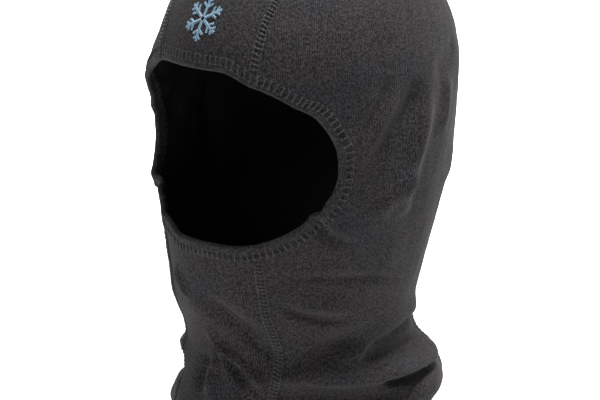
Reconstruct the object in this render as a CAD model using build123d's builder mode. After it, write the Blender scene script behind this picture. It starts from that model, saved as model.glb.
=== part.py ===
"""Open-face balaclava: a hood of four cut cloth panels joined by flatlock seams.

+Z is up, the face looks along -Y, and the wearer's left is +X. The origin is the centre of the
neck opening, in the plane of the neck edge. All sizes are in millimetres.
"""

import os
from math import cos, hypot, radians, sin, sqrt

from build123d import *

# Head shape: the outer face of the cloth, seen from the side, as arcs and straight runs
height = 336.0  # neck edge to the top of the crown
crown_radius, crown_turn = 102.0, 48.0  # flat top of the skull, with the angle each arc turns
shoulder_radius = 78.0  # rounds the crown down to the side of the head
temple_length = 18.0  # upright stretch at the widest level
cheek_radius, jaw_slope = 300.0, 13.0  # eases inwards to the slope of the jaw
jaw_length = 61.0
nape_radius, flare_slope = 45.0, 14.0  # hollow of the neck, then outwards over the collar
flare_length = 25.0
collar_radius = 70.0  # brings the flare back upright above the neck edge
width_to_depth = 0.86  # the head is narrower than it is deep

# Cloth, hems and threads
cloth = 1.6  # one layer of brushed stretch fleece
thread = 0.5  # a flatlock thread's height above the cloth
seam_width = 5.5  # across the flatlock stitches
hem_width = 8.0  # turned allowance round the face
neck_hem_width = 20.0  # turned allowance round the neck
hem_seam_width = 5.0  # cover stitches over a hem's raw edge
hem_seam_inside = 4.0  # part of those stitches that lies on the allowance
gap = 0.4  # free space between a row of stitches and the next piece

# Cut of the panels
strip_width = 74.0  # chin and crown strip, between the two seams

# Face opening, as it looks from the front
face_width = 142.0
face_height = 100.0
face_drop = 82.5  # from the top of the crown down to the opening
brow_corner, chin_corner = 46.0, 50.0  # corner radii of the opening

# Embroidered emblem and its backing, on the brow
emblem_size = 25.0
emblem_drop = 55.0  # from the top of the crown down to its centre
emblem_thickness = 1.0
backing_size = 32.0
backing_thickness = 0.4

# Care label inside the nape, at the hollow of the neck
label_width = 22.0
label_length = 34.0
label_thickness = 0.6
label_clearance = 1.0  # between the cloth and the hanging label
tack_height = 4.0  # folded edge of the label, held by its stitches
tack_seam_height = 1.5

face_centre = height - face_drop - face_height / 2
emblem_height = height - emblem_drop
reach = 2 * height  # longer than the hood in any direction
turn, slope = radians(crown_turn), radians(jaw_slope)
widest = height - crown_radius * (1 - cos(turn)) - shoulder_radius * cos(turn)


def half_depth(lift):
    """Half depth at the widest level, with the cloth's outer face moved out by lift."""
    return (crown_radius + lift) * sin(turn) + (shoulder_radius + lift) * (1 - sin(turn))


def half_width(lift):
    """Half width at the widest level, with the cloth's outer face moved out by lift."""
    return half_depth(0) * width_to_depth + lift


def form(lift):
    """Solid of the whole hood, with the cloth's outer face moved out by lift.

    It runs on below the neck edge, where layer() cuts it off level.
    """
    with BuildPart() as solid:
        with BuildSketch(Plane.XZ):
            with BuildLine():
                top = (0, height + lift)
                crown = JernArc(top, (1, 0), crown_radius + lift, -crown_turn)
                shoulder = JernArc(crown @ 1, crown % 1, shoulder_radius + lift, crown_turn - 90)
                temple = PolarLine(shoulder @ 1, temple_length, direction=shoulder % 1)
                cheek = JernArc(temple @ 1, temple % 1, cheek_radius + lift, -jaw_slope)
                jaw = PolarLine(cheek @ 1, jaw_length, direction=cheek % 1)
                nape = JernArc(jaw @ 1, jaw % 1, nape_radius - lift, jaw_slope + flare_slope)
                flare = PolarLine(nape @ 1, flare_length, direction=nape % 1)
                collar = JernArc(flare @ 1, flare % 1, collar_radius + lift, -flare_slope)
                Polyline(collar @ 1, ((collar @ 1).X, -collar_radius), (0, -collar_radius), top)
            make_face()
        revolve(axis=Axis.Z)
        scale(by=(half_width(lift) / half_depth(lift), 1, 1))
    return solid.part


forms = {}


def layer(inside, outside):
    """Closed skin between two distances from the cloth's outer face, open at the neck."""
    for lift in (inside, outside):
        if lift not in forms:
            forms[lift] = form(lift)
    with BuildPart() as skin:
        add(forms[outside])
        add(forms[inside], mode=Mode.SUBTRACT)
        split(bisect_by=Plane.XY, keep=Keep.TOP)
    return skin.part


def face_prism(margin):
    """Prism forwards from the middle of the head that cuts the face opening, grown by margin.

    The cloth turns away at the sides, so a margin along it looks narrower there from the front.
    """
    edge = face_width / 2 / half_width(0)
    side_share = sqrt(1 - edge**2) / hypot(edge / width_to_depth, sqrt(1 - edge**2))
    with BuildPart() as prism:
        with BuildSketch(Plane.XZ):
            with Locations((0, face_centre)):
                Rectangle(face_width + 2 * margin * side_share, face_height + 2 * margin)
            fillet(vertices().sort_by(Axis.Y)[:2], chin_corner + margin)
            fillet(vertices().sort_by(Axis.Y)[-2:], brow_corner + margin)
        extrude(amount=reach)
    return prism.part


def front_block(x, width, low):
    """Block over the chin, at x, that starts low above the neck edge and ends in the opening."""
    with BuildPart() as block:
        with Locations((x, 0, low)):
            Box(width, reach, face_centre - low, align=(Align.CENTER, Align.MAX, Align.MIN))
    return block.part


def crown_block(x, width, low):
    """Block at x from the brow over the crown to low above the neck edge at the back."""
    with BuildPart() as block:
        with Locations((x, 0, low)):
            Box(width, reach, reach, align=(Align.CENTER, Align.CENTER, Align.MIN))
        add(front_block(x, width, low), mode=Mode.SUBTRACT)
    return block.part


def neck_slab(low, high):
    """Level slab between two heights above the neck edge."""
    with BuildPart() as slab:
        with Locations((0, 0, low)):
            Box(reach, reach, high - low, align=(Align.CENTER, Align.CENTER, Align.MIN))
    return slab.part


os.makedirs("parts", exist_ok=True)
cloth_skin = layer(-cloth, 0)
allowance_skin = layer(-2 * cloth, -cloth)
cover_skin = layer(0, thread)
looper_skin = layer(-cloth - thread, -cloth)
hem_looper_skin = layer(-2 * cloth - thread, -2 * cloth)

# Chin panel: the front of the neck up to the face opening
with BuildPart() as chin_panel:
    add(cloth_skin)
    add(front_block(0, strip_width, 0), mode=Mode.INTERSECT)
    add(face_prism(0), mode=Mode.SUBTRACT)
chin_panel.part.label = "chin_panel"
export_step(chin_panel.part, "parts/chin_panel.step")

# Crown panel: one strip from the brow over the crown and down the nape
with BuildPart() as crown_panel:
    add(cloth_skin)
    add(crown_block(0, strip_width, 0), mode=Mode.INTERSECT)
    add(face_prism(0), mode=Mode.SUBTRACT)
crown_panel.part.label = "crown_panel"
export_step(crown_panel.part, "parts/crown_panel.step")

# Side panels: each covers an ear, a cheek and one side of the neck
for side, outwards in (("right", -1), ("left", 1)):
    with BuildPart() as side_panel:
        add(cloth_skin)
        with Locations((outwards * (strip_width + reach) / 2, 0, 0)):
            Box(reach, reach, reach, mode=Mode.INTERSECT)
        add(face_prism(0), mode=Mode.SUBTRACT)
    side_panel.part.label = f"{side}_side_panel"
    export_step(side_panel.part, f"parts/{side}_side_panel.step")

# Hem allowances: the cloth's edges turned inside, flat against the panels
with BuildPart() as face_hem:
    add(allowance_skin)
    add(face_prism(hem_width), mode=Mode.INTERSECT)
    add(face_prism(0), mode=Mode.SUBTRACT)
face_hem.part.label = "face_hem"
export_step(face_hem.part, "parts/face_hem.step")

with BuildPart() as neck_hem:
    add(allowance_skin)
    add(neck_slab(0, neck_hem_width), mode=Mode.INTERSECT)
neck_hem.part.label = "neck_hem"
export_step(neck_hem.part, "parts/neck_hem.step")

# Cover stitches of the hems, outside, over the line of the raw edge
face_seam_low = hem_width - hem_seam_inside
face_seam_high = face_seam_low + hem_seam_width
with BuildPart() as face_hem_cover:
    add(cover_skin)
    add(face_prism(face_seam_high), mode=Mode.INTERSECT)
    add(face_prism(face_seam_low), mode=Mode.SUBTRACT)
face_hem_cover.part.label = "face_hem_cover"
export_step(face_hem_cover.part, "parts/face_hem_cover.step")

neck_seam_low = neck_hem_width - hem_seam_inside
neck_seam_high = neck_seam_low + hem_seam_width
with BuildPart() as neck_hem_cover:
    add(cover_skin)
    add(neck_slab(neck_seam_low, neck_seam_high), mode=Mode.INTERSECT)
neck_hem_cover.part.label = "neck_hem_cover"
export_step(neck_hem_cover.part, "parts/neck_hem_cover.step")

# Looper threads of the hems, inside, on the turned allowance
with BuildPart() as face_hem_looper:
    add(hem_looper_skin)
    add(face_prism(hem_width - gap), mode=Mode.INTERSECT)
    add(face_prism(face_seam_low), mode=Mode.SUBTRACT)
face_hem_looper.part.label = "face_hem_looper"
export_step(face_hem_looper.part, "parts/face_hem_looper.step")

with BuildPart() as neck_hem_looper:
    add(hem_looper_skin)
    add(neck_slab(neck_seam_low, neck_hem_width - gap), mode=Mode.INTERSECT)
neck_hem_looper.part.label = "neck_hem_looper"
export_step(neck_hem_looper.part, "parts/neck_hem_looper.step")

# Flatlock seams along the strip: cover threads outside and looper threads inside
rows = {
    "cover": (cover_skin, face_seam_high + gap, neck_seam_high + gap),
    "looper": (looper_skin, hem_width + gap, neck_hem_width + gap),
}
for row, (skin, face_margin, low) in rows.items():
    for side, x in (("right", -strip_width / 2), ("left", strip_width / 2)):
        with BuildPart() as chin_seam:
            add(skin)
            add(front_block(x, seam_width, low), mode=Mode.INTERSECT)
            add(face_prism(face_margin), mode=Mode.SUBTRACT)
        chin_seam.part.label = f"chin_seam_{side}_{row}"
        export_step(chin_seam.part, f"parts/{chin_seam.part.label}.step")

        with BuildPart() as crown_seam:
            add(skin)
            add(crown_block(x, seam_width, low), mode=Mode.INTERSECT)
            add(face_prism(face_margin), mode=Mode.SUBTRACT)
        crown_seam.part.label = f"crown_seam_{side}_{row}"
        export_step(crown_seam.part, f"parts/{crown_seam.part.label}.step")

# Emblem embroidered on the brow, and the backing that its stitches hold inside
with BuildPart() as emblem:
    with BuildSketch(Plane.XZ):
        with Locations((0, emblem_height)):
            RegularPolygon(emblem_size / 2, 6)
    extrude(amount=reach)
    add(layer(0, emblem_thickness), mode=Mode.INTERSECT)
emblem.part.label = "emblem"
export_step(emblem.part, "parts/emblem.step")

with BuildPart() as emblem_backing:
    with BuildSketch(Plane.XZ):
        with Locations((0, emblem_height)):
            Circle(backing_size / 2)
    extrude(amount=reach)
    add(layer(-cloth - backing_thickness, -cloth), mode=Mode.INTERSECT)
emblem_backing.part.label = "emblem_backing"
export_step(emblem_backing.part, "parts/emblem_backing.step")

# Care label at the hollow of the nape: its folded edge is sewn down, the rest hangs free
inward = cheek_radius * (1 - cos(slope)) + jaw_length * sin(slope) + nape_radius * (1 - cos(slope))
down = temple_length + cheek_radius * sin(slope) + jaw_length * cos(slope) + nape_radius * sin(slope)
label_top = widest - down
nape_depth = half_depth(0) - inward
nape_width = nape_depth * half_width(0) / half_depth(0)
edge_share = label_width / 2 / (nape_width - cloth)
label_back = (nape_depth - cloth) * sqrt(1 - edge_share**2) - label_clearance
with BuildPart() as label_tack:
    add(layer(-cloth - label_thickness, -cloth))
    with Locations((0, reach / 2, label_top + tack_height / 2)):
        Box(label_width, reach, tack_height, mode=Mode.INTERSECT)
label_tack.part.label = "label_tack"
export_step(label_tack.part, "parts/label_tack.step")

with BuildPart() as label_stitches:
    add(layer(-cloth - label_thickness - thread, -cloth - label_thickness))
    with Locations((0, reach / 2, label_top + tack_height / 2)):
        Box(label_width, reach, tack_seam_height, mode=Mode.INTERSECT)
label_stitches.part.label = "label_stitches"
export_step(label_stitches.part, "parts/label_stitches.step")

with BuildPart() as care_label:
    with Locations((0, label_back, label_top - label_clearance)):
        Box(label_width, label_thickness, label_length, align=(Align.CENTER, Align.MAX, Align.MAX))
care_label.part.label = "care_label"
export_step(care_label.part, "parts/care_label.step")

hinge_depth, hinge_height = label_back - label_thickness / 2, label_top - label_clearance / 2
print(f"label hinge at y {hinge_depth:.2f}, z {hinge_height:.2f}")
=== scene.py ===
from math import cos, pi, radians, sin

import bpy
import numpy as np
from mathutils import Matrix, Vector


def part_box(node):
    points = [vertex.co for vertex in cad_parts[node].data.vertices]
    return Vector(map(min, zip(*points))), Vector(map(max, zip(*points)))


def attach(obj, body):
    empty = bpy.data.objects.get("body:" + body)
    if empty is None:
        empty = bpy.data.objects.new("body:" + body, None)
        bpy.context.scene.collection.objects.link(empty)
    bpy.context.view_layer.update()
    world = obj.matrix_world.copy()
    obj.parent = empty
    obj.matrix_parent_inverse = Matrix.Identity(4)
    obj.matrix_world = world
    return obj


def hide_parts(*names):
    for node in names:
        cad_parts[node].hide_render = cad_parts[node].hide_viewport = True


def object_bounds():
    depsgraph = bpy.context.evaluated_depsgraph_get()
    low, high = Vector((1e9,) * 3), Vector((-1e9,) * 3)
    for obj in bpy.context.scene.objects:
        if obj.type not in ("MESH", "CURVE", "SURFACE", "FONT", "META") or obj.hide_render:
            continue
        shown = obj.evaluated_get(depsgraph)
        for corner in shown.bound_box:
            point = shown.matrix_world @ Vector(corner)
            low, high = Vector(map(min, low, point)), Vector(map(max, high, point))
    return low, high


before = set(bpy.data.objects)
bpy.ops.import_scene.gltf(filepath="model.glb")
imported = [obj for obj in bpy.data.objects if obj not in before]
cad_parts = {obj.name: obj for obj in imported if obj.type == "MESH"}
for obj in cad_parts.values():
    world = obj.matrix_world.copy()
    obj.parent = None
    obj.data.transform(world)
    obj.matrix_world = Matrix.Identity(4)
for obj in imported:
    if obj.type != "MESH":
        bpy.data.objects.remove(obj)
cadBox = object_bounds()
mm = 0.001  # every size below is in millimetres, and meshes are made in metres

head = {
    # Outline from the crown down: arcs as (radius, turn in degrees), straight runs as (length, 0)
    "outline": [(102, -48), (78, -42), (18, 0), (300, -13), (61, 0), (45, 27), (25, 0), (70, -14)],
    "step": 0.5,  # spacing of the points that stand for the outline
    "wrapHeight": 241,  # height of the axis that the centre strip wraps round
}

# Real extents, read from the frame
top = cadBox[1][2] / mm
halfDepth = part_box("crown_panel")[1][1] / mm
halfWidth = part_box("left_side_panel")[1][0] / mm
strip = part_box("chin_panel")[1][0] / mm
narrow = halfWidth / halfDepth


def walkOutline():  # rows of radius, height and the outward normal, from the neck edge up to the crown
    spot, heading, rows = np.array([0.0, top]), 0.0, []
    for size, turn in head["outline"]:
        length = abs(radians(turn)) * size if turn else size
        count = max(2, round(length / head["step"]))
        for _ in range(count):
            rows.append((*spot, -sin(heading), cos(heading)))
            middle = heading + radians(turn) / count / 2
            spot = spot + length / count * np.array([cos(middle), sin(middle)])
            heading += radians(turn) / count
    rows += [(*spot, 1, 0), (spot[0], 0, 1, 0)]
    return np.array(rows)[::-1]


outline = walkOutline()
outlineRun = np.concatenate([[0], np.cumsum(np.linalg.norm(np.diff(outline[:, :2], axis=0), axis=1))])
print("head form laid out")


def atLevel(z, column):
    return np.interp(z, outline[:, 1], outline[:, column])


def unit(v):
    return v / np.maximum(np.linalg.norm(v, axis=-1, keepdims=True), 1e-9)


def onHead(azimuth, z):  # azimuth in degrees from the face towards the wearer's left
    a, r = np.radians(np.asarray(azimuth, float)), atLevel(z, 0)
    return np.stack([narrow * r * np.sin(a), -r * np.cos(a), np.asarray(z, float) + 0 * a], -1)


def headNormal(p):
    x, y = p[..., 0] / narrow, p[..., 1]
    r = np.maximum(np.hypot(x, y), 1e-6)
    outwards, upwards = atLevel(p[..., 2], 2), atLevel(p[..., 2], 3)
    return unit(np.stack([outwards * x / r / narrow, outwards * y / r, upwards], -1))


def settle(p):  # moves points level with the ground until they lie on the head
    share = atLevel(p[..., 2], 0) / np.maximum(np.hypot(p[..., 0] / narrow, p[..., 1]), 1e-6)
    return np.stack([p[..., 0] * share, p[..., 1] * share, p[..., 2]], -1)


def onRay(x, turn):  # x fixed, turn from 0 at the brow over the crown to pi at the back
    low, high = np.zeros_like(turn), np.full_like(turn, 2 * halfDepth)
    for _ in range(40):  # halvings
        r = (low + high) / 2
        y, z = -r * np.cos(turn), head["wrapHeight"] + r * np.sin(turn)
        inside = (np.hypot(x / narrow, y) < atLevel(z, 0)) & (z < top)
        low, high = np.where(inside, r, low), np.where(inside, high, r)
    return np.stack([x, y, z], -1)


def evenly(path, count):  # the same line with evenly spaced points
    run = np.concatenate([[0], np.cumsum(np.linalg.norm(np.diff(path, axis=0), axis=1))])
    at = np.linspace(0, run[-1], count)
    return np.stack([np.interp(at, run, path[:, k]) for k in range(path.shape[1])], -1)


def lengthOf(path):
    return float(np.linalg.norm(np.diff(path, axis=0), axis=1).sum())


def frontOf(x, z):  # the head's front face straight ahead of x and z
    return np.stack([x, -np.sqrt(atLevel(z, 0) ** 2 - (x / narrow) ** 2), z], -1)


def chinLine(x, low, high):
    z = np.linspace(high, low, 120)
    return frontOf(np.full_like(z, x), z)


def crownLine(x, frontLow, backLow):
    turn = np.linspace(0, pi, 300)[1:-1]
    over = onRay(np.full_like(turn, x), turn)
    front = chinLine(x, frontLow, head["wrapHeight"])[::-1]
    back = chinLine(x, backLow, head["wrapHeight"]) * (1, -1, 1)
    return np.concatenate([front, over, back])


# The face opening is drawn flat from the front, with a round corner at the chin and one at the brow
faceHem = {
    "half": 71, "brow": 46, "chin": 50,  # half width of the opening, radii of its upper and lower corners
    "width": 8, "cut": 6.5, "puff": 0.35, "step": 0.9,
    "stitches": (3.8, 8.8), "looper": (3.8, 7.3), "pitch": 3.5,
    "pull": 0.22, "pullAt": 5.5, "puffAt": 2.2,
}
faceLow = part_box("face_hem")[0][2] / mm + faceHem["width"]
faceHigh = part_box("face_hem")[1][2] / mm - faceHem["width"]
faceMiddle = (faceLow + faceHigh) / 2


def faceEdge():
    half, chin, brow = faceHem["half"], faceHem["chin"], faceHem["brow"]
    low, high = np.radians(np.linspace(-90, 0, 60)), np.radians(np.linspace(0, 90, 60))
    x = np.concatenate([half - chin + chin * np.cos(low), half - brow + brow * np.cos(high)])
    z = np.concatenate([faceLow + chin + chin * np.sin(low), faceHigh - brow + brow * np.sin(high)])
    x, z = np.concatenate([[0], x, -x[::-1], [0]]), np.concatenate([[faceLow], z, z[::-1], [faceLow]])
    flat = evenly(np.stack([x, z], -1), 1200)
    path = frontOf(flat[:, 0], flat[:, 1])
    return evenly(path, round(lengthOf(path) / faceHem["step"]) + 1)[:-1]


edge = faceEdge()
edgeNormal = headNormal(edge)
edgeAlong = unit(np.roll(edge, -1, 0) - np.roll(edge, 1, 0))
edgeOut = unit(np.cross(edgeAlong, edgeNormal))
if edgeOut[0, 2] > 0:
    edgeOut = -edgeOut
print("face opening drawn")


def nearest(path, p, closed=False):  # distance to a line, share along it, and the nearest point
    ends = np.roll(path, -1, 0) if closed else path[1:]
    starts = path if closed else path[:-1]
    middles = (starts + ends) / 2
    best = np.full(len(p), np.inf)
    share, spot = np.zeros(len(p)), np.zeros((len(p), 3))
    i = np.argmin(((p[:, None] - middles[None]) ** 2).sum(-1), axis=1) if len(p) else np.zeros(0, int)
    for shift in (-1, 0, 1):
        j = (i + shift) % len(starts) if closed else np.clip(i + shift, 0, len(starts) - 1)
        run = ends[j] - starts[j]
        t = np.clip(((p - starts[j]) * run).sum(-1) / (run * run).sum(-1), 0, 1)
        q = starts[j] + t[:, None] * run
        d = np.linalg.norm(p - q, axis=-1)
        closer = d < best
        best = np.where(closer, d, best)
        share = np.where(closer, (j + t) / len(starts), share)
        spot = np.where(closer[:, None], q, spot)
    return best, share, spot


def beyondFace(p):  # distance from the opening's edge, negative inside it
    half, radius = faceHem["half"], np.where(p[:, 2] > faceMiddle, faceHem["brow"], faceHem["chin"])
    across = np.abs(p[:, 0]) - (half - radius)
    upright = np.abs(p[:, 2] - faceMiddle) - ((faceHigh - faceLow) / 2 - radius)
    outside = np.hypot(np.maximum(across, 0), np.maximum(upright, 0))
    flat = outside + np.minimum(np.maximum(across, upright), 0) - radius
    far = np.full(len(p), 100.0)  # anything well clear of the opening
    near = (p[:, 1] < 0) & (flat < 25)
    if near.any():
        far[near] = nearest(edge[::2], p[near], closed=True)[0] * np.where(flat[near] < 0, -1, 1)
    return far


# Each fold: its (azimuth, height) points, half width, rise, and how far its crest sags downwards
cheekFolds = [  # tension from the corner of the opening back to the ear
    ([(61, 210), (66, 224), (74, 254)], 4.5, 1.3, 0),
    ([(64, 205), (71, 215), (75, 229), (84, 257)], 5.5, 1.9, 0),
    ([(68, 222), (73, 236), (80, 258)], 4, -1.2, 0),
    ([(72, 206), (80, 219), (88, 238), (93, 256)], 6, -1.8, 0),
    ([(99, 256), (95, 227), (91, 204), (85, 188), (72, 168)], 8, 4.2, 0),
    ([(91, 204), (90, 187), (92, 170)], 6, 2.4, 0),
    ([(54, 182), (60, 170), (70, 161)], 4, 1.7, 0.5),
    ([(51, 178), (57, 167), (67, 157)], 3.5, -1.8, 0),
    ([(100, 250), (110, 262), (124, 270)], 5.5, -1.3, 0),
    ([(110, 256), (112, 236), (108, 214)], 6, 1.8, 0),
    ([(-34, 266), (-46, 246), (-54, 224), (-58, 198), (-58, 172), (-54, 150)], 14, 4.2, 0),
    ([(14, 262), (28, 256), (42, 249), (54, 236)], 17, 0, 6),
    ([(-12, 148), (-24, 152), (-36, 160), (-46, 172)], 13, 0, -6),
]
neckFolds = [  # the loose neck, slumped into swags
    ([(37, 136), (59, 138), (91, 135), (102, 126)], 2.2, -0.8, 0),
    ([(38, 122), (48, 117), (60, 112), (77, 111)], 4.5, -1.4, 0.6),
    ([(40, 126), (55, 120), (80, 118)], 6, 1.2, 0.8),
    ([(46, 86), (66, 95), (90, 98), (118, 103), (140, 104)], 6.5, -3.4, 0),
    ([(146, 108), (130, 108), (115, 105), (98, 101), (83, 96), (74, 88), (71, 79)], 6.5, 3.4, 1.5),
    ([(146, 92), (125, 89), (108, 87), (92, 86), (78, 83), (66, 82)], 5.5, -2.8, 0),
    ([(150, 84), (138, 82), (121, 78), (96, 78), (74, 79)], 6, 3.2, 1.5),
    ([(128, 74), (104, 71), (82, 72)], 3.5, -3.5, 0),
    ([(92, 66), (114, 62), (140, 64), (166, 62), (196, 60)], 17, 5.2, 0.8),
    ([(20, 72), (45, 76), (61, 75), (89, 75), (119, 73)], 6, 3.2, 2),
    ([(18, 60), (45, 63), (75, 62), (110, 60)], 6, -3.5, 0),
    ([(-24, 133), (-16, 124), (-8, 115)], 4, 1.8, 0.5),
    ([(-6, 118), (11, 112), (22, 103), (33, 101)], 6, -2.8, 0),
    ([(18, 99), (28, 93), (38, 86)], 5, -2, 0),
    ([(-8, 98), (4, 90), (12, 84), (22, 75), (32, 66)], 3.4, 2.6, 1.5),
    ([(3, 91), (6, 82), (13, 68)], 2.8, 1.8, 0.8),
    ([(4, 83), (-1, 72), (3, 56)], 4, 2.2, 0),
    ([(8, 82), (15, 76), (22, 68)], 4.5, -2.2, 0),
    ([(-5, 84), (-7, 72), (-6, 58)], 4.5, -1.8, 0),
]
backFolds = [  # the nape and the back of the collar
    ([(146, 122), (180, 116), (212, 121)], 9, 1.7, 0.6),
    ([(146, 110), (178, 104), (214, 110)], 5, -2.5, 0),
    ([(152, 46), (180, 42), (206, 48)], 9, 1.6, 0.6),
    ([(148, 34), (180, 29), (210, 35)], 7, -1.6, 0),
    ([(160, 250), (172, 215), (176, 180)], 9, 1.8, 0),
    ([(196, 244), (190, 205), (192, 168)], 9, 1.6, 0),
    ([(122, 212), (140, 184), (160, 158)], 12, 1, 0.5),
    ([(130, 190), (143, 167), (160, 148)], 9, -0.8, 0),
]
collarFolds = [  # below the swags, down to the neck edge
    ([(30, 50), (60, 44), (96, 47), (126, 50)], 7, 2.4, 1.2),
    ([(40, 38), (70, 33), (104, 37)], 6, -2.5, 0),
    ([(-34, 48), (-4, 42), (28, 50)], 8, 1.6, 0.6),
    ([(12, 34), (16, 20), (14, 8)], 6, 2.2, 0),
    ([(88, 30), (92, 18), (90, 6)], 7, 2.2, 0),
    ([(150, 28), (156, 16), (154, 5)], 7, 2, 0),
]


def otherSide(folds, turn, lift, strength):  # the far side's own folds: mirrored, shifted and weaker
    shifted = []
    for path, width, rise, sag in folds:
        spots = [(-a + turn * sin(0.09 * z), z + lift * sin(0.05 * a)) for a, z in path]
        shifted.append((spots, width, rise * strength, sag * strength))
    return shifted


farFolds = otherSide(cheekFolds[:-3], 4, 5, 0.8) + otherSide(neckFolds[1:11], 5, 4, 0.7)
farFolds += otherSide(collarFolds[:2] + collarFolds[4:], 6, -4, 0.9)


def smoothLine(spots, count=36):  # Catmull-Rom through the points
    spots = np.array(spots, float)
    ends = np.concatenate([[2 * spots[0] - spots[1]], spots, [2 * spots[-1] - spots[-2]]])
    line = []
    for t in np.linspace(0, len(spots) - 1, count):
        k = min(int(t), len(spots) - 2)
        a, b, c, d = ends[k : k + 4]
        s = t - k
        bent = (2 * a - 5 * b + 4 * c - d) * s**2 + (3 * b - a - 3 * c + d) * s**3
        line.append(0.5 * (2 * b + (c - a) * s + bent))
    return np.array(line)


cloth = {
    "thickness": 1.6, "cell": 1.5,  # cell is the spacing of the mesh
    "loft": 0.4, "loftWave": 38, "lint": 0.4, "lintWave": 13,  # slow unevenness, and the fine share of it
    "slack": 1.5, "neckSlack": 1.3, "neckTop": 120,  # how far folds stand out, and the loose neck's further
    "fade": 0.3, "crease": 0.4,  # share of a fold that each end fades over, and how much steeper it is below
}
throat = {  # below the chin the cloth falls back, except for a column down the nape
    "top": 118, "drop": 45, "back": 13, "return": 0.75, "napeSide": 22, "napeLow": 70, "napeFade": 16,
}
neckHem = {
    "width": 20, "cut": 18.5, "step": 1.6, "stitches": (16, 21), "looper": (0.2, 3.4), "pitch": 3.5,
    "wave": 2.4, "waves": 5, "waveTop": 70,  # the edge's own slow waves
}
flatlock = {
    "half": 2.4, "pitch": 2.3,
    "ridge": 0.6, "ridgeWidth": 2.2, "groove": 0.45, "grooveAt": 3.3, "grooveWidth": 0.8,
}
nape = {"side": 9, "low": 45, "high": 140, "rise": 0.2}  # where the cloth stays flat, clear of the care label

folds = []
for path, width, rise, sag in cheekFolds + neckFolds + backFolds + collarFolds + farFolds:
    line = smoothLine(path)
    if line[:, 1].mean() < cloth["neckTop"]:
        rise *= cloth["neckSlack"]
    folds.append((onHead(line[:, 0], line[:, 1]), width, rise * cloth["slack"], sag))
print(f"{len(folds)} folds laid out")


def ease(t):
    t = np.clip(t, 0, 1)
    return t * t * (3 - 2 * t)


def ripple(p, wavelength, seed):  # smooth seeded unevenness, about -1 to 1
    draw = np.random.default_rng(seed)
    total = np.zeros(p.shape[0])
    for _ in range(7):
        way = unit(draw.normal(size=3)) * 2 * pi / wavelength * draw.uniform(0.7, 1.5)
        total += np.sin(p @ way + draw.uniform(0, 2 * pi))
    return total / 3.5


def drape(p):  # points of the head form moved to where the worn cloth lies
    p = np.asarray(p, float).reshape(-1, 3)
    normal = headNormal(p)
    rise = cloth["loft"] * ripple(p, cloth["loftWave"], 3)
    rise += cloth["lint"] * cloth["loft"] * ripple(p, cloth["lintWave"], 4)
    sag = np.zeros(len(p))
    for path, width, height, drop in folds:
        reach = 3 * width
        close = ((p > path.min(0) - reach) & (p < path.max(0) + reach)).all(1)
        if not close.any():
            continue
        far, share, spot = nearest(path, p[close])
        under = ease((spot[:, 2] - p[close][:, 2]) / width + 0.5)
        side = width * (1 - cloth["crease"] * under * (drop > 0))
        strength = np.exp(-((far / side) ** 2))
        strength = strength * ease(share / cloth["fade"]) * ease((1 - share) / cloth["fade"])
        rise[close] += height * strength
        sag[close] += drop * strength
    level = p[:, 2]
    around = np.arctan2(p[:, 0] / narrow, -p[:, 1])
    wave = np.sin(neckHem["waves"] * around + 0.8 + 0.4 * np.sin(2 * around))
    rise += neckHem["wave"] * wave * ease(1 - level / neckHem["waveTop"])
    besideSeam = np.abs(np.abs(p[:, 0]) - strip)
    rise += flatlock["ridge"] * np.exp(-((besideSeam / flatlock["ridgeWidth"]) ** 2))
    besideGroove = (besideSeam - flatlock["grooveAt"]) / flatlock["grooveWidth"]
    rise -= flatlock["groove"] * np.exp(-(besideGroove**2))
    setBack = throat["back"] * ease((throat["top"] - level) / throat["drop"])
    setBack *= 1 - throat["return"] * ease((throat["drop"] - level) / throat["drop"])
    byLabel = (p[:, 1] > 0) * ease(2 - np.abs(p[:, 0]) / nape["side"])
    byLabel *= ease((nape["high"] - level) / 12) * ease((level - nape["low"]) / 8)
    rise += byLabel * np.maximum(nape["rise"] - rise, 0)
    sag *= ease(level / 25)  # nothing sags past the neck edge
    down = unit(normal * normal[:, 2:3] - (0, 0, 1))
    moved = p + normal * rise[:, None] + down * sag[:, None]
    held = ease(1.6 - np.abs(p[:, 0]) / throat["napeSide"]) * (p[:, 1] > 0)
    moved[:, 1] += setBack * (1 - held * ease((level - throat["napeLow"]) / throat["napeFade"]))
    return moved


def onCloth(p, lift=0.0):  # draped points, lifted off the outer face
    p = np.asarray(p, float)
    flat = p.reshape(-1, 3)
    normal = headNormal(flat)
    across = unit(np.cross(normal, (0, 0.01, 1)))
    along = np.cross(normal, across)
    reach = 0.5  # how far each way the slope is taken over
    u = drape(flat + across * reach) - drape(flat - across * reach)
    v = drape(flat + along * reach) - drape(flat - along * reach)
    turned = unit(np.cross(u, v))
    turned *= np.sign((turned * normal).sum(-1, keepdims=True))
    moved = drape(flat) + turned * np.broadcast_to(lift, p.shape[:-1]).reshape(-1, 1)
    return moved.reshape(p.shape)


def gridFaces(rows, columns, ringed=False):
    i, j = np.meshgrid(np.arange(rows - 1), np.arange(columns if ringed else columns - 1), indexing="ij")
    k = (j + 1) % columns
    quads = np.stack([i * columns + j, i * columns + k, (i + 1) * columns + k, (i + 1) * columns + j], -1)
    return quads.reshape(-1, 4)


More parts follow.
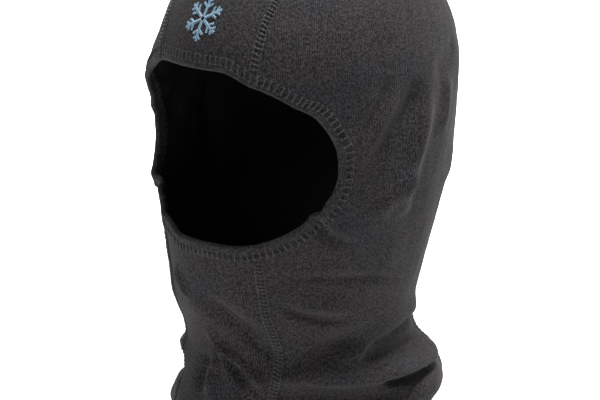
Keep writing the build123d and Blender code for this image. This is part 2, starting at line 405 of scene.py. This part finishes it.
def trim(points, faces, keep):  # cuts a mesh along keep = 0 and drops the negative side
    points, made, kept = [tuple(p) for p in points], {}, []
    keep = np.where(np.abs(keep) < 0.12, 0, keep)  # points this near the cut are on it
    for face in faces:
        signs = [keep[i] >= 0 for i in face]
        if all(signs):
            kept.append(list(face))
        elif any(signs):
            ring = []
            for a, b in zip(face, [*face[1:], face[0]]):
                if keep[a] >= 0:
                    ring.append(a)
                if keep[a] * keep[b] < 0:
                    key = (min(a, b), max(a, b))
                    if key not in made:
                        share = keep[key[0]] / (keep[key[0]] - keep[key[1]])
                        p, q = np.array(points[key[0]]), np.array(points[key[1]])
                        made[key] = len(points)
                        points.append(tuple(p + share * (q - p)))
                    ring.append(made[key])
            if len(ring) > 2:
                kept.append(ring)
    used = sorted({i for face in kept for i in face})
    number = {old: new for new, old in enumerate(used)}
    return np.array(points)[used], [[number[i] for i in face] for face in kept]


ribs = {"radius": 107, "shift": 25}  # the side panels' ribs fan out a little round the head


def clothMap(p, centreStrip):  # where a point lies on its cut panel, in metres: across and along the ribs
    x, y, z = p[:, 0], p[:, 1], p[:, 2]
    level = np.interp(z, outline[:, 1], outlineRun)
    turn = np.arctan2(z - head["wrapHeight"], -y)
    over = np.interp(head["wrapHeight"], outline[:, 1], outlineRun) + halfDepth * turn
    fan = ribs["radius"] * np.arctan2(np.abs(x) + ribs["shift"], -y)
    across = np.where(centreStrip, x, fan * np.sign(x))
    along = np.where(centreStrip & (z > head["wrapHeight"]), over, level)
    return np.stack([across, along], -1) * mm


def addPiece(name, points, faces, finishes, nodes, body="hood", rest=None, solid=0.0):
    mesh = bpy.data.meshes.new(name)
    faces = [tuple(int(i) for i in face) for face in faces]
    mesh.from_pydata((np.asarray(points) * mm).tolist(), [], faces)
    mesh.polygons.foreach_set("use_smooth", [True] * len(mesh.polygons))
    if rest is not None:
        corners = np.zeros(len(mesh.loops), int)
        mesh.loops.foreach_get("vertex_index", corners)
        sizes = [len(face) for face in faces]
        middles = np.array([np.abs(rest[list(face), 0]).mean() for face in faces])
        inStrip = np.repeat(middles < strip, sizes)
        flat = clothMap(rest[corners], inStrip)
        mesh.uv_layers.new(name="panel").data.foreach_set("uv", flat.reshape(-1))
    piece = bpy.data.objects.new(name, mesh)
    bpy.context.scene.collection.objects.link(piece)
    for finish in finishes:
        mesh.materials.append(finish)
    if solid:
        thick = piece.modifiers.new("Cloth thickness", "SOLIDIFY")
        thick.thickness, thick.offset = solid * mm, -1
        thick.material_offset = 1 if len(finishes) > 1 else 0
    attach(piece, body)
    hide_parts(*nodes)
    return piece


threads = {"radius": 0.33, "fine": 0.22, "sides": 6, "taper": 0.45}  # taper is the thickness at the tips


def tubes(paths, radius):  # many short threads as one mesh
    paths = np.asarray(paths, float)
    count, rings, _ = paths.shape
    along = unit(np.gradient(paths, axis=1))
    side = unit(np.cross(along, headNormal(paths)))
    up = np.cross(side, along)
    sides = threads["sides"]
    angle = np.arange(sides) * 2 * pi / sides
    width = np.full(rings, 1.0)
    width[[0, -1]] = threads["taper"]
    wide = radius * width[None, :, None, None]
    ring = side[:, :, None] * np.cos(angle)[None, None, :, None]
    ring = ring + up[:, :, None] * np.sin(angle)[None, None, :, None]
    points = (paths[:, :, None] + wide * ring).reshape(-1, 3)
    one = gridFaces(rings, sides, ringed=True)
    size, faces = rings * sides, []
    for k in range(count):
        faces += (one + k * size).tolist()
        faces.append(list(range(k * size, k * size + sides))[::-1])
        faces.append(list(range((k + 1) * size - sides, (k + 1) * size)))
    faces = [face[::-1] for face in faces]
    return points, faces


def joined(*parts):
    points, faces, start = [], [], 0
    for some, their in parts:
        points.append(some)
        faces += [[i + start for i in face] for face in their]
        start += len(some)
    return np.concatenate(points), faces


def toLinear(code):
    channels = [int(code[i : i + 2], 16) / 255 for i in (1, 3, 5)]
    return (*[c / 12.92 if c <= 0.04045 else ((c + 0.055) / 1.055) ** 2.4 for c in channels], 1)


def addNode(material, kind, settings=None, links=None):
    node = material.node_tree.nodes.new(kind)
    for name, value in (settings or {}).items():
        if isinstance(name, int) or name in node.inputs:
            node.inputs[name].default_value = value
        else:
            setattr(node, name, value)
    for name, source in (links or {}).items():
        material.node_tree.links.new(source, node.inputs[name])
    return node


def newMaterial(name):
    material = bpy.data.materials.new(name)
    material.use_nodes = True
    material.node_tree.nodes.clear()
    return material


def finishMaterial(material, settings, links):
    shader = addNode(material, "ShaderNodeBsdfPrincipled", settings, links)
    addNode(material, "ShaderNodeOutputMaterial", links={"Surface": shader.outputs["BSDF"]})
    return material


def fleeceKnit(name, look):
    # Polyester stretch fleece, knitted and lightly brushed: matt, with upright ribs, soft fuzz and a
    # heathered grey. Real fibres are far finer than the stretched noise that stands for them here.
    material = newMaterial(name)
    place = addNode(material, "ShaderNodeUVMap", {"uv_map": "panel"}).outputs["UV"]
    object3d = addNode(material, "ShaderNodeTexCoord").outputs["Object"]
    drift = addNode(
        material, "ShaderNodeTexNoise", {"Scale": 1 / (look["drift"] * mm), "Detail": 2.0}, {"Vector": place}
    )
    axes = addNode(material, "ShaderNodeSeparateXYZ", links={"Vector": place})
    shift = addNode(
        material, "ShaderNodeMath", {"operation": "MULTIPLY", 1: 1.6 * look["rib"] * mm},
        {0: drift.outputs["Fac"]},
    )
    across = addNode(
        material, "ShaderNodeMath", {"operation": "ADD"}, {0: axes.outputs["X"], 1: shift.outputs[0]}
    )
    phase = addNode(
        material, "ShaderNodeMath", {"operation": "MULTIPLY", 1: 2 * pi / (look["rib"] * mm)},
        {0: across.outputs[0]},
    )
    rib = addNode(material, "ShaderNodeMath", {"operation": "SINE"}, {0: phase.outputs[0]})
    stretch = addNode(
        material, "ShaderNodeMapping",
        {"Scale": (1 / (look["fibre"][0] * mm), 1 / (look["fibre"][1] * mm), 1)}, {"Vector": place},
    )
    fibre = addNode(
        material, "ShaderNodeTexNoise", {"Scale": 1.0, "Detail": 3.0}, {"Vector": stretch.outputs[0]}
    )
    heather = addNode(
        material, "ShaderNodeTexNoise",
        {"Scale": 1 / (look["heather"] * mm), "Detail": 4.0, "Roughness": 0.75}, {"Vector": object3d},
    )
    blotch = addNode(
        material, "ShaderNodeTexNoise", {"Scale": 1 / (look["blotch"] * mm), "Detail": 3.0},
        {"Vector": object3d},
    )
    ribHeight = addNode(
        material, "ShaderNodeMath", {"operation": "MULTIPLY", 1: look["ribShare"]}, {0: rib.outputs[0]}
    )
    height = addNode(
        material, "ShaderNodeMath", {"operation": "ADD"}, {0: ribHeight.outputs[0], 1: fibre.outputs["Fac"]}
    )
    fuzz = addNode(
        material, "ShaderNodeMath", {"operation": "ADD"}, {0: height.outputs[0], 1: heather.outputs["Fac"]}
    )
    speck = addNode(
        material, "ShaderNodeMapRange", {"From Min": 0.88, "From Max": 1.14, "To Min": 0.0, "To Max": 1.0},
        {"Value": fuzz.outputs[0]},
    )
    tint = addNode(
        material, "ShaderNodeMapRange", {"From Min": 0.38, "From Max": 0.62}, {"Value": blotch.outputs["Fac"]}
    )
    dark = addNode(
        material, "ShaderNodeMix",
        {"data_type": "RGBA", 6: toLinear(look["warmDark"]), 7: toLinear(look["coolDark"])},
        {0: tint.outputs[0]},
    )
    light = addNode(
        material, "ShaderNodeMix",
        {"data_type": "RGBA", 6: toLinear(look["warmLight"]), 7: toLinear(look["coolLight"])},
        {0: tint.outputs[0]},
    )
    colour = addNode(
        material, "ShaderNodeMix", {"data_type": "RGBA"},
        {0: speck.outputs[0], 6: dark.outputs[2], 7: light.outputs[2]},
    )
    bump = addNode(
        material, "ShaderNodeBump", {"Strength": look["bump"], "Distance": 0.35 * mm},
        {"Height": fuzz.outputs[0]},
    )
    rough = addNode(
        material, "ShaderNodeMapRange", {"From Min": 0.3, "From Max": 0.7, "To Min": 0.8, "To Max": 0.95},
        {"Value": heather.outputs["Fac"]},
    )
    return finishMaterial(
        material,
        {"Specular IOR Level": 0.2, "Sheen Weight": look["sheen"], "Sheen Roughness": 0.45,
         "Sheen Tint": toLinear("#8c8a8c")},
        {"Base Color": colour.outputs[2], "Normal": bump.outputs[0], "Roughness": rough.outputs[0]},
    )


def spunThread(name, look):
    # Twisted thread: slightly glossy, with the twist showing as slanting bands. A real twist is about
    # 0.5 mm long and is drawn coarser, so that it shows.
    material = newMaterial(name)
    object3d = addNode(material, "ShaderNodeTexCoord").outputs["Object"]
    twist = addNode(
        material, "ShaderNodeTexWave",
        {"Scale": 1 / (look["twist"] * mm), "Distortion": 1.5, "Detail": 1.0, "bands_direction": "DIAGONAL"},
        {"Vector": object3d},
    )
    patch = addNode(material, "ShaderNodeTexNoise", {"Scale": 1 / (look["patch"] * mm)}, {"Vector": object3d})
    mix = addNode(
        material, "ShaderNodeMath", {"operation": "MULTIPLY"},
        {0: twist.outputs["Fac"], 1: patch.outputs["Fac"]},
    )
    share = addNode(
        material, "ShaderNodeMapRange", {"From Min": 0.05, "From Max": 0.6}, {"Value": mix.outputs[0]}
    )
    colour = addNode(
        material, "ShaderNodeMix",
        {"data_type": "RGBA", 6: toLinear(look["dark"]), 7: toLinear(look["light"])},
        {0: share.outputs[0]},
    )
    bump = addNode(
        material, "ShaderNodeBump", {"Strength": 0.5, "Distance": 0.1 * mm}, {"Height": twist.outputs["Fac"]}
    )
    return finishMaterial(
        material,
        {"Roughness": look["roughness"], "Specular IOR Level": 0.35, "Sheen Weight": look["sheen"]},
        {"Base Color": colour.outputs[2], "Normal": bump.outputs[0]},
    )


def wovenSatin(name, look):
    # Woven polyester satin tape: smooth, with fine warp and weft lines in the gloss, drawn six threads
    # at a time because single ones are too fine to show
    material = newMaterial(name)
    object3d = addNode(material, "ShaderNodeTexCoord").outputs["Object"]
    scale = 1 / (6 * look["pitch"] * mm)
    warp, weft = (
        addNode(
            material, "ShaderNodeTexWave", {"Scale": scale, "Distortion": 0.6, "bands_direction": way},
            {"Vector": object3d},
        )
        for way in "XZ"
    )
    weave = addNode(
        material, "ShaderNodeMath", {"operation": "MULTIPLY"},
        {0: warp.outputs["Fac"], 1: weft.outputs["Fac"]},
    )
    colour = addNode(
        material, "ShaderNodeMix",
        {"data_type": "RGBA", 6: toLinear(look["dark"]), 7: toLinear(look["light"])},
        {0: weave.outputs[0]},
    )
    bump = addNode(
        material, "ShaderNodeBump", {"Strength": 0.4, "Distance": 0.08 * mm}, {"Height": weave.outputs[0]}
    )
    return finishMaterial(
        material, {"Roughness": 0.45, "Specular IOR Level": 0.4, "Sheen Weight": 0.2},
        {"Base Color": colour.outputs[2], "Normal": bump.outputs[0]},
    )


knit = {"drift": 9, "fibre": (0.9, 1.3), "heather": 1.9, "blotch": 38}  # sizes of its unevenness, in mm
fleece = fleeceKnit("brushed stretch fleece knit", {
    **knit, "rib": 1.3, "ribShare": 0.06, "bump": 1.0, "sheen": 0.08,
    "warmDark": "#020202", "coolDark": "#020203", "warmLight": "#2f2a2b", "coolLight": "#2b2a2d",
})
# The inner face is coloured near black as painted shade for the shadowed inside of the hood, much darker than
# the knit's own colour on the outer face
innerFacePaintedShade = fleeceKnit("fleece inner face, painted shade", {
    **knit, "rib": 1.6, "ribShare": 0.1, "bump": 0.6, "sheen": 0.0,
    "warmDark": "#050505", "coolDark": "#050506", "warmLight": "#0e0d0e", "coolLight": "#0d0d0e",
})
seamThread = spunThread("textured polyester seam thread", {
    "twist": 2.4, "patch": 3, "roughness": 0.6, "sheen": 0.2, "dark": "#0a090a", "light": "#211e20",
})
satinThread = spunThread("rayon embroidery thread", {
    "twist": 3, "patch": 7, "roughness": 0.4, "sheen": 0.15, "dark": "#3f5c70", "light": "#7c95a8",
})
stabiliser = spunThread("non-woven stabiliser", {
    "twist": 5, "patch": 1.5, "roughness": 0.9, "sheen": 0.0, "dark": "#0c0c0d", "light": "#1c1c1e",
})
satinTape = wovenSatin("woven satin label tape", {"pitch": 0.35, "dark": "#b9b9b6", "light": "#dcdcd8"})
print("materials made")


def outsideHem(p):
    return beyondFace(p) - faceHem["cut"]


def addPanel(name, node, lines, area=None):  # lines of points on the head, cut off at the face hem
    points = np.concatenate(lines)
    faces = gridFaces(len(lines), len(lines[0])).tolist()
    if area:  # a side panel, which ends at the centre strip
        points, faces = trim(points, faces, np.abs(points[:, 0]) - strip)
    points, faces = trim(points, faces, outsideHem(points))
    first = points[faces[0]]
    if np.cross(first[1] - first[0], first[2] - first[0]) @ headNormal(first[:1])[0] < 0:
        faces = [face[::-1] for face in faces]
    piece = addPiece(
        name, drape(points), faces, [fleece, innerFacePaintedShade], [node], rest=points, solid=cloth["thickness"]
    )


def stripLines(lines):  # the same number of points on each line of the centre strip
    count = max(round(np.mean([lengthOf(line) for line in lines]) / cloth["cell"]), 3)
    return [evenly(line, count) for line in lines]


pastEdge = faceHem["width"]  # the strip's lines start this far inside the opening, and are cut back
columns = np.linspace(-strip, strip, round(2 * strip / cloth["cell"]) + 1)
chinLines = stripLines([chinLine(x, neckHem["cut"], faceLow + pastEdge) for x in columns])
addPanel("chin_panel_cloth", "chin_panel", chinLines)
crownLines = stripLines([crownLine(x, faceHigh - pastEdge, neckHem["cut"]) for x in columns])
addPanel("crown_panel_cloth", "crown_panel", crownLines)

azimuths = np.linspace(12, 168, round(pi * 0.87 * halfDepth / cloth["cell"]))
runs = np.interp([neckHem["cut"], top - 4], outline[:, 1], outlineRun)
heights = np.interp(np.arange(*runs, cloth["cell"]), outlineRun, outline[:, 1])
for side, sign in (("right", -1), ("left", 1)):
    lines = [onHead(sign * np.full_like(heights, a), heights) for a in azimuths]
    addPanel(f"{side}_side_cloth", f"{side}_side_panel", lines, area=0.05)
print("panels cut and draped")


def hemBand(name, node, base, lifts):  # the turned edge as one band, brought back inside
    rows, columns = base.shape[:2]
    spots = base.reshape(-1, 3)
    points = onCloth(base, lifts).reshape(-1, 3)
    faces = gridFaces(rows + 1, columns, ringed=True)
    faces = np.where(faces >= rows * columns, faces - rows * columns, faces).tolist()
    middle = points.reshape(rows, columns, 3).mean(1)
    first = points[faces[0]]
    if np.cross(first[1] - first[0], first[2] - first[0]) @ (first.mean(0) - middle[0]) < 0:
        faces = [face[::-1] for face in faces]
    piece = addPiece(name, points, faces, [fleece], [node], rest=spots)


def foldSection(cut, width):  # (distance from the folded edge, lift off the outer face), all round the band
    t = cloth["thickness"]
    outer = [(cut + 0.5, -0.6), (cut, -0.08)] + [(b, 0.0) for b in np.linspace(cut - 0.8, t + 0.9, 5)]
    fold = [(t - (t + 0.1) * sin(a), -t + (t + 0.1) * cos(a)) for a in np.radians(np.linspace(0, 180, 9))]
    inner = [(b, -2 * t) for b in np.linspace(t + 1.2, width - 0.3, 4)]
    inner += [(width, -2 * t + 0.5), (width, -t - 0.1)]
    between = [(t + 0.4, -t - 0.06), (t + 0.4, -t + 0.06), (cut + 0.5, -t + 0.06)]
    return np.array(outer + fold + inner + between)


section = foldSection(faceHem["cut"], faceHem["width"])
reach = section[:, 0][None, :, None]
band = settle(edge[:, None] + edgeOut[:, None] * reach)
run = np.arange(len(edge)) * lengthOf(np.concatenate([edge, edge[:1]])) / len(edge)
tug = np.cos(2 * pi * run / faceHem["pitch"])[:, None]  # each stitch pulls the cloth in
onTop = section[:, 1] > -0.7
underStitch = np.exp(-(((section[:, 0] - faceHem["pullAt"]) / 1.4) ** 2)) * onTop
puffed = np.exp(-(((section[:, 0] - faceHem["puffAt"]) / 1.6) ** 2)) * onTop
lifts = section[:, 1][None] - faceHem["pull"] * (1 + tug) * underStitch[None] + faceHem["puff"] * puffed[None]
hemBand("face_hem_cloth", "face_hem", band, lifts)

section = foldSection(neckHem["cut"], neckHem["width"])
neckRadius = 0.93 * 82.7  # mean radius of the neck edge
turns = np.linspace(0, 360, round(2 * pi * neckRadius / neckHem["step"]), endpoint=False)
band = np.stack([onHead(turns, np.full_like(turns, max(b, 0.0))) for b in section[:, 0]], 1)
hemBand("neck_hem_cloth", "neck_hem", band, section[:, 1][None])
print("hems folded")


def rowAlong(path, across, count, spots, lifts, jitter, seed):
    # count stitches along a line; spots are (across, along) offsets, lifts their heights off the cloth
    draw = np.random.default_rng(seed)
    index = (np.arange(count) + 0.5) / count * (len(path) - 1)
    at = np.stack([np.interp(index, np.arange(len(path)), path[:, k]) for k in range(3)], -1)
    way = np.stack([np.interp(index, np.arange(len(path)), across[:, k]) for k in range(3)], -1)
    forward = unit(np.cross(way, headNormal(at)))
    slip = draw.uniform(-jitter, jitter, (count, 2))  # of each stitch's first and second end
    base = []
    for k, (sideways, onwards) in enumerate(spots):
        shift = slip[:, min(k * 2 // len(spots), 1)]
        base.append(settle(at + way * sideways + forward * (onwards + shift)[:, None]))
    return onCloth(np.stack(base, 1), np.array(lifts)[None])


barLift = [-0.35, 0.22, 0.34, 0.34, 0.22, -0.35]  # a stitch rises out of the cloth and dives back in
insideLift = -cloth["thickness"] - 0.15  # threads lying on the inner face


def hemStitches(hem, line, across, pitch, reach, looper, seed):
    # Bars over the raw edge with a row of dashes along each side, and the looper's zigzag inside
    low, high = reach
    count = round(lengthOf(line) / pitch)
    spots = [(b, 0.0) for b in np.linspace(low, high, len(barLift))]
    bars = tubes(rowAlong(line, across, count, spots, barLift, 0.35, seed), threads["radius"])
    dashes = []
    for b in (low + 0.3, high - 0.3):
        spots = [(b, s) for s in (-1.2, -0.6, 0.6, 1.2)]
        dash = rowAlong(line, across, count, spots, [-0.1, 0.2, 0.2, -0.1], 0.1, seed + 1)
        dashes.append(tubes(dash, threads["fine"]))
    points, faces = joined(bars, *dashes)
    addPiece(f"{hem}_cover_stitches", points, faces, [seamThread], [f"{hem}_cover"])
    zigzag = [(looper[0], -0.9), (looper[1], -0.2), (looper[0], 0.9)]
    lift = insideLift - cloth["thickness"]  # under the hem's two layers
    loops = rowAlong(line, across, count, zigzag, [lift] * 3, 0.2, seed + 2)
    points, faces = tubes(loops, threads["fine"])
    addPiece(f"{hem}_looper_stitches", points, faces, [seamThread], [f"{hem}_looper"])


loop = np.concatenate([edge, edge[:1]])
loopOut = np.concatenate([edgeOut, edgeOut[:1]])
hemStitches("face_hem", loop, loopOut, faceHem["pitch"], faceHem["stitches"], faceHem["looper"], seed=11)
stitchLow, stitchHigh = neckHem["stitches"]
ring = onHead(np.linspace(0, 360, 600), np.full(600, stitchLow))
upwards = np.tile((0.0, 0.0, 1.0), (600, 1))
reach = (0, stitchHigh - stitchLow)
hemStitches("neck_hem", ring, upwards, neckHem["pitch"], reach, neckHem["looper"], seed=21)
print("hems stitched")


def startPastHem(line, margin):  # the part of a seam line that is clear of the face hem's stitches
    return line[beyondFace(line) > margin]


def seamCover(path, across, count):  # bars over the seam between three lines of dashes
    half = flatlock["half"]
    slanted = ((-1, -0.5), (-0.6, -0.3), (-0.2, -0.05), (0.2, 0.05), (0.6, 0.3), (1, 0.5))
    ladder = [(s * half, onwards) for s, onwards in slanted]
    bars = tubes(rowAlong(path, across, count, ladder, barLift, 0.3, 31), threads["radius"])
    dashes = []
    for b in (-half, 0.0, half):
        spots = [(b, s) for s in (-1, -0.5, 0.5, 1)]
        dash = rowAlong(path, across, count, spots, [-0.1, 0.24, 0.24, -0.1], 0.12, 32)
        dashes.append(tubes(dash, threads["fine"]))
    return joined(bars, *dashes)


def seamLooper(path, across, count):  # a zigzag on the inner face
    half = flatlock["half"]
    spots = [(-half, -0.8), (half, 0.0), (-half, 0.8)]
    return tubes(rowAlong(path, across, count, spots, [insideLift] * 3, 0.2, 33), threads["fine"])


seamRows = (  # each starts just clear of the face hem's own stitches
    ("cover", seamCover, faceHem["stitches"][1] + 0.6),
    ("looper", seamLooper, faceHem["width"] + 0.6),
)
for side, sign in (("right", -1), ("left", 1)):
    x = sign * strip
    chin = chinLine(x, stitchHigh + 0.4, faceLow + pastEdge)
    crown = crownLine(x, faceHigh - pastEdge, stitchHigh + 0.4)
    for part, line in (("chin", chin), ("crown", crown)):
        for row, makeRow, margin in seamRows:
            path = startPastHem(evenly(line, 900), margin)
            forward = unit(np.gradient(path, axis=0))
            across = unit(np.cross(headNormal(path), forward))
            points, faces = makeRow(path, across, round(lengthOf(path) / flatlock["pitch"]))
            node = f"{part}_seam_{side}_{row}"
            addPiece(f"{node}_threads", points, faces, [seamThread], [node])
print("seams stitched")


# The emblem is a plain six-armed snowflake in satin stitch, with a stabiliser behind the cloth
emblem = {
    "height": 281, "radius": 12.5, "hub": 1.2, "armWidth": 1.9, "twigWidth": 0.7, "satin": 0.3, "pitch": 0.55,
    "twigs": ((0.48, 4.2), (0.74, 3.2)), "lean": 52,  # place along the arm and length, and the angle off it
    "stabiliser": 16,
}


def satinBar(start, end, width):
    start, end = np.array(start, float), np.array(end, float)
    way = unit(end - start)
    side = np.array([-way[1], way[0]])
    count = max(3, round(np.linalg.norm(end - start) / emblem["pitch"]))
    bars = []
    for k in range(count):
        middle = start + (end - start) * (k + 0.5) / count
        bars.append([middle + side * width * s for s in (-0.5, -0.3, 0, 0.3, 0.5)])
    return bars


bars = []
for k in range(6):
    arm = np.radians(60 * k + 30)
    out = np.array([cos(arm), sin(arm)])
    bars += satinBar(out * emblem["hub"], out * emblem["radius"], emblem["armWidth"])
    for place, size in emblem["twigs"]:
        for lean in (-1, 1):
            twig = arm + lean * radians(emblem["lean"])
            root = out * emblem["radius"] * place
            tip = root + size * np.array([cos(twig), sin(twig)])
            bars += satinBar(root, tip, emblem["armWidth"] * emblem["twigWidth"])
bars = np.array(bars)
base = frontOf(bars[..., 0], emblem["height"] + bars[..., 1])
points, faces = tubes(onCloth(base, np.array([-0.2, 0.4, 0.62, 0.4, -0.2])[None]), emblem["satin"])
addPiece("snowflake_embroidery", points, faces, [satinThread], ["emblem"])

radii = np.linspace(0.5, emblem["stabiliser"], 14)
turnsRound = np.linspace(0, 2 * pi, 48, endpoint=False)
r, a = np.meshgrid(radii, turnsRound, indexing="ij")
disc = frontOf(r * np.cos(a), emblem["height"] + r * np.sin(a))
points = onCloth(disc, -cloth["thickness"] - 0.05).reshape(-1, 3)
faces = gridFaces(len(radii), len(turnsRound), ringed=True).tolist() + [list(range(len(turnsRound)))]
faces = [face[::-1] for face in faces]
backing = addPiece(
    "emblem_stabiliser", points, faces, [stabiliser], ["emblem_backing"], solid=-0.35
)
print("emblem embroidered")


# The care label is a folded loop of satin tape, sewn down along its top
label = {"width": 22, "length": 33.4, "thickness": 0.3, "loop": 0.6, "curl": 0.25, "stitchPitch": 2.4}
labelLow, labelHigh = (np.array(corner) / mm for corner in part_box("care_label"))
tackLow, tackHigh = (np.array(corner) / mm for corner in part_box("label_tack"))


def labelLoop():  # (across the loop, below the sewn edge), down the front, round the end and up the back
    half, length = label["loop"] / 2, label["length"]
    down = np.linspace(0, 1, 24)
    front = np.stack([-half * ease(down * 3), -length * down], -1)
    bend = np.radians(np.linspace(180, 360, 9))[1:-1]
    end = np.stack([half * np.cos(bend), -length + half * np.sin(bend)], -1)
    back = np.stack([half * ease(down * 3), -length * down], -1)[::-1]
    return np.concatenate([front, end, back])


loopPath = labelLoop()
widths = np.linspace(-label["width"] / 2, label["width"] / 2, 15)
hingeY, hingeZ = (labelLow[1] + labelHigh[1]) / 2, labelHigh[2]
row, x = np.meshgrid(np.arange(len(loopPath)), widths, indexing="ij")
curl = label["curl"] * (x / widths[-1]) ** 2 * (-loopPath[row, 1] / label["length"])
points = np.stack([x, hingeY + loopPath[row, 0] - curl, hingeZ + loopPath[row, 1]], -1).reshape(-1, 3)
faces = gridFaces(len(loopPath), len(widths)).tolist()
careLabel = addPiece(
    "care_label_tape", points, faces, [satinTape], ["care_label"], body="care_label",
    solid=label["thickness"] * 0.6,
)
careLabel.modifiers["Cloth thickness"].offset = 0

x = np.linspace(tackLow[0], tackHigh[0], 15)
z = np.linspace(tackLow[2], tackHigh[2], 5)
tackBase = frontOf(*np.meshgrid(x, z, indexing="ij")) * (1, -1, 1)
points = onCloth(tackBase, -cloth["thickness"] - 0.02).reshape(-1, 3)
faces = gridFaces(len(x), len(z)).tolist()
addPiece("label_sewn_edge", points, faces, [satinTape], ["label_tack"], solid=-0.5)
x = np.arange(-9.5, 9.6, label["stitchPitch"])[:, None] + np.array([-0.9, -0.4, 0.4, 0.9])[None]
dash = frontOf(x, np.full_like(x, (tackLow[2] + tackHigh[2]) / 2)) * (1, -1, 1)
points, faces = tubes(onCloth(dash, np.array([-2.0, -2.35, -2.35, -2.0])[None]), threads["fine"])
addPiece("label_lockstitches", points, faces, [seamThread], ["label_stitches"])
print("label sewn in")


camera = {
    "azimuth": radians(42.6), "elevation": radians(11.3), "roll": radians(3.6), "distance": 1.8,
    "lens": 183.5, "sensor": 36, "target": np.array([0, 0, 0.168]),
}
sweep = {"front": -4.0, "bend": 2.6, "radius": 1.6, "wall": (4.2, 5.0), "side": 5.0}  # metres


def addStage():  # a white paper sweep: level floor that curves up behind the hood
    radius, angles = sweep["radius"], np.radians(np.linspace(0, 90, 25))
    cove = [(sweep["bend"] + radius * sin(a), radius - radius * cos(a)) for a in angles]
    profile = [(sweep["front"], 0.0), *cove, sweep["wall"]]
    turn = Matrix.Rotation(camera["azimuth"], 3, "Z")
    points = [tuple(turn @ Vector((x, y, z))) for y, z in profile for x in (-sweep["side"], sweep["side"])]
    mesh = bpy.data.meshes.new("studio sweep")
    mesh.from_pydata(points, [], gridFaces(len(profile), 2).tolist())
    mesh.polygons.foreach_set("use_smooth", [True] * len(mesh.polygons))
    paper = bpy.data.objects.new("studio_sweep", mesh)
    bpy.context.scene.collection.objects.link(paper)
    finish = newMaterial("white studio paper")
    mesh.materials.append(finishMaterial(finish, {"Base Color": toLinear("#f6f6f6"), "Roughness": 0.9}, {}))


def cameraAxes():
    a, e, r = camera["azimuth"], camera["elevation"], camera["roll"]
    back = np.array([sin(a) * cos(e), -cos(a) * cos(e), sin(e)])
    right = np.array([cos(a), sin(a), 0])
    up = np.cross(back, right)
    return right * cos(r) + up * sin(r), up * cos(r) - right * sin(r), back


right, up, back = cameraAxes()


def addCamera():
    data = bpy.data.cameras.new("camera")
    data.lens, data.sensor_width = camera["lens"], camera["sensor"]
    eye = bpy.data.objects.new("camera", data)
    axes = Matrix((right, up, back)).transposed().to_4x4()
    eye.matrix_world = Matrix.Translation(camera["target"] + back * camera["distance"]) @ axes
    bpy.context.scene.collection.objects.link(eye)
    bpy.context.scene.camera = eye


def addLight(name, way, distance, size, power, away=False):  # away lights the paper behind, not the hood
    data = bpy.data.lights.new(name, "AREA")
    data.shape, data.size, data.energy = "DISK", size, power
    lamp = bpy.data.objects.new(name, data)
    way = unit(np.array(way, float))
    lamp.location = camera["target"] + way * distance
    facing = -back - 0.25 * up if away else -way
    lamp.rotation_euler = Vector(facing).to_track_quat("-Z", "Y").to_euler()
    bpy.context.scene.collection.objects.link(lamp)


addStage()
addCamera()
addLight("key softbox", right * 0.35 + up * 1.3 + back * 0.35, 1.5, 0.4, 62)
addLight("fill softbox", -right * 1.0 + up * 0.5 + back * 0.9, 2.0, 1.0, 15)
addLight("rim softbox", right * 1.0 + up * 0.5 - back * 0.55, 1.6, 0.6, 5)
addLight("backdrop softbox", up * 0.9 - back * 0.6, 1.6, 1.4, 160, away=True)
world = bpy.data.worlds.new("studio")
world.use_nodes = True
sky = world.node_tree.nodes["Background"]
sky.inputs["Color"].default_value = toLinear("#ffffff")
sky.inputs["Strength"].default_value = 0.25
bpy.context.scene.world = world
bpy.context.scene.view_settings.view_transform = "Standard"
print("studio lit")
